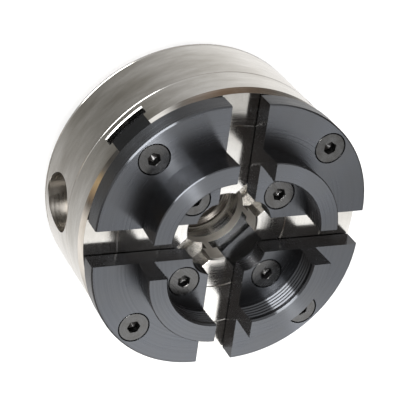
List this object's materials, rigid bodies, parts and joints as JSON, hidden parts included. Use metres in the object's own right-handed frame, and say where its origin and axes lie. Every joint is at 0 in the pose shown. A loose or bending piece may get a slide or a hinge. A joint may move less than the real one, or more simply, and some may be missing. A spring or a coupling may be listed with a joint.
{
  "type": "lathe chuck",
  "caption": "Geared scroll chuck for a wood lathe: round body, sliding jaws with a dovetail gripping ring, bevel pinions under radial key holes, and a threaded spindle insert.",
  "frame": {"origin": "centre of the spindle insert's rear register face, the lowest point of the chuck lying on its back", "axes": "+Z along the chuck's axis, out through the jaws; the two key holes point along -X and +X; the jaws are on the diagonals between X and Y"},
  "size_m": [0.1, 0.1, 0.0646],
  "materials": {
    "body_nickel": "satin nickel plate over turned steel",
    "jaw_black": "black oxide, semi-gloss",
    "slide_black": "black oxide over ground steel",
    "screw_steel": "dark steel",
    "gear_steel": "hardened and oiled",
    "washer_bronze": "turned bronze",
    "insert_steel": "machined and oiled"
  },
  "bodies": {
    "body": {"chuck_body": "body_nickel", "rear_housing": "body_nickel", "back_plate": "body_nickel", "body_screws": "screw_steel", "thrust_washer": "washer_bronze", "pinion_lock_left": "screw_steel", "pinion_lock_right": "screw_steel", "spindle_insert": "insert_steel", "insert_grub_screw": "screw_steel"},
    "scroll": {"scroll_plate": "gear_steel"},
    "left_pinion": {"pinion_left": "gear_steel"},
    "right_pinion": {"pinion_right": "gear_steel"},
    "slide_1": {"jaw_slide_1": "slide_black", "jaw_1": "jaw_black", "jaw_screws_1": "screw_steel"},
    "slide_2": {"jaw_slide_2": "slide_black", "jaw_2": "jaw_black", "jaw_screws_2": "screw_steel"},
    "slide_3": {"jaw_slide_3": "slide_black", "jaw_3": "jaw_black", "jaw_screws_3": "screw_steel"},
    "slide_4": {"jaw_slide_4": "slide_black", "jaw_4": "jaw_black", "jaw_screws_4": "screw_steel"}
  },
  "joints": [
    {"name": "scroll_turn", "type": "hinge", "parent": "body", "child": "scroll", "pos_m": [0, 0, 0.031], "axis": [0, 0, 1], "range_deg": [-540, 360]},
    {"name": "left_pinion_turn", "type": "hinge", "parent": "body", "child": "left_pinion", "pos_m": [-0.0434, 0, 0.0203], "axis": [-1, 0, 0], "range_deg": [-2160, 3240]},
    {"name": "right_pinion_turn", "type": "hinge", "parent": "body", "child": "right_pinion", "pos_m": [0.0434, 0, 0.0203], "axis": [1, 0, 0], "range_deg": [-2160, 3240]},
    {"name": "jaw_1_travel", "type": "slide", "parent": "body", "child": "slide_1", "axis": [0.7071, 0.7071, 0], "range_m": [-0.0075, 0.005]},
    {"name": "jaw_2_travel", "type": "slide", "parent": "body", "child": "slide_2", "axis": [-0.7071, 0.7071, 0], "range_m": [-0.0075, 0.005]},
    {"name": "jaw_3_travel", "type": "slide", "parent": "body", "child": "slide_3", "axis": [-0.7071, -0.7071, 0], "range_m": [-0.0075, 0.005]},
    {"name": "jaw_4_travel", "type": "slide", "parent": "body", "child": "slide_4", "axis": [0.7071, -0.7071, 0], "range_m": [-0.0075, 0.005]}
  ],
  "couplings": [
    {"joint": "left_pinion_turn", "follows": "scroll_turn", "ratio": -6},
    {"joint": "right_pinion_turn", "follows": "scroll_turn", "ratio": -6},
    {"joint": "jaw_1_travel", "follows": "scroll_turn", "m_per_rad": 0.00079577},
    {"joint": "jaw_2_travel", "follows": "scroll_turn", "m_per_rad": 0.00079577},
    {"joint": "jaw_3_travel", "follows": "scroll_turn", "m_per_rad": 0.00079577},
    {"joint": "jaw_4_travel", "follows": "scroll_turn", "m_per_rad": 0.00079577}
  ]
}
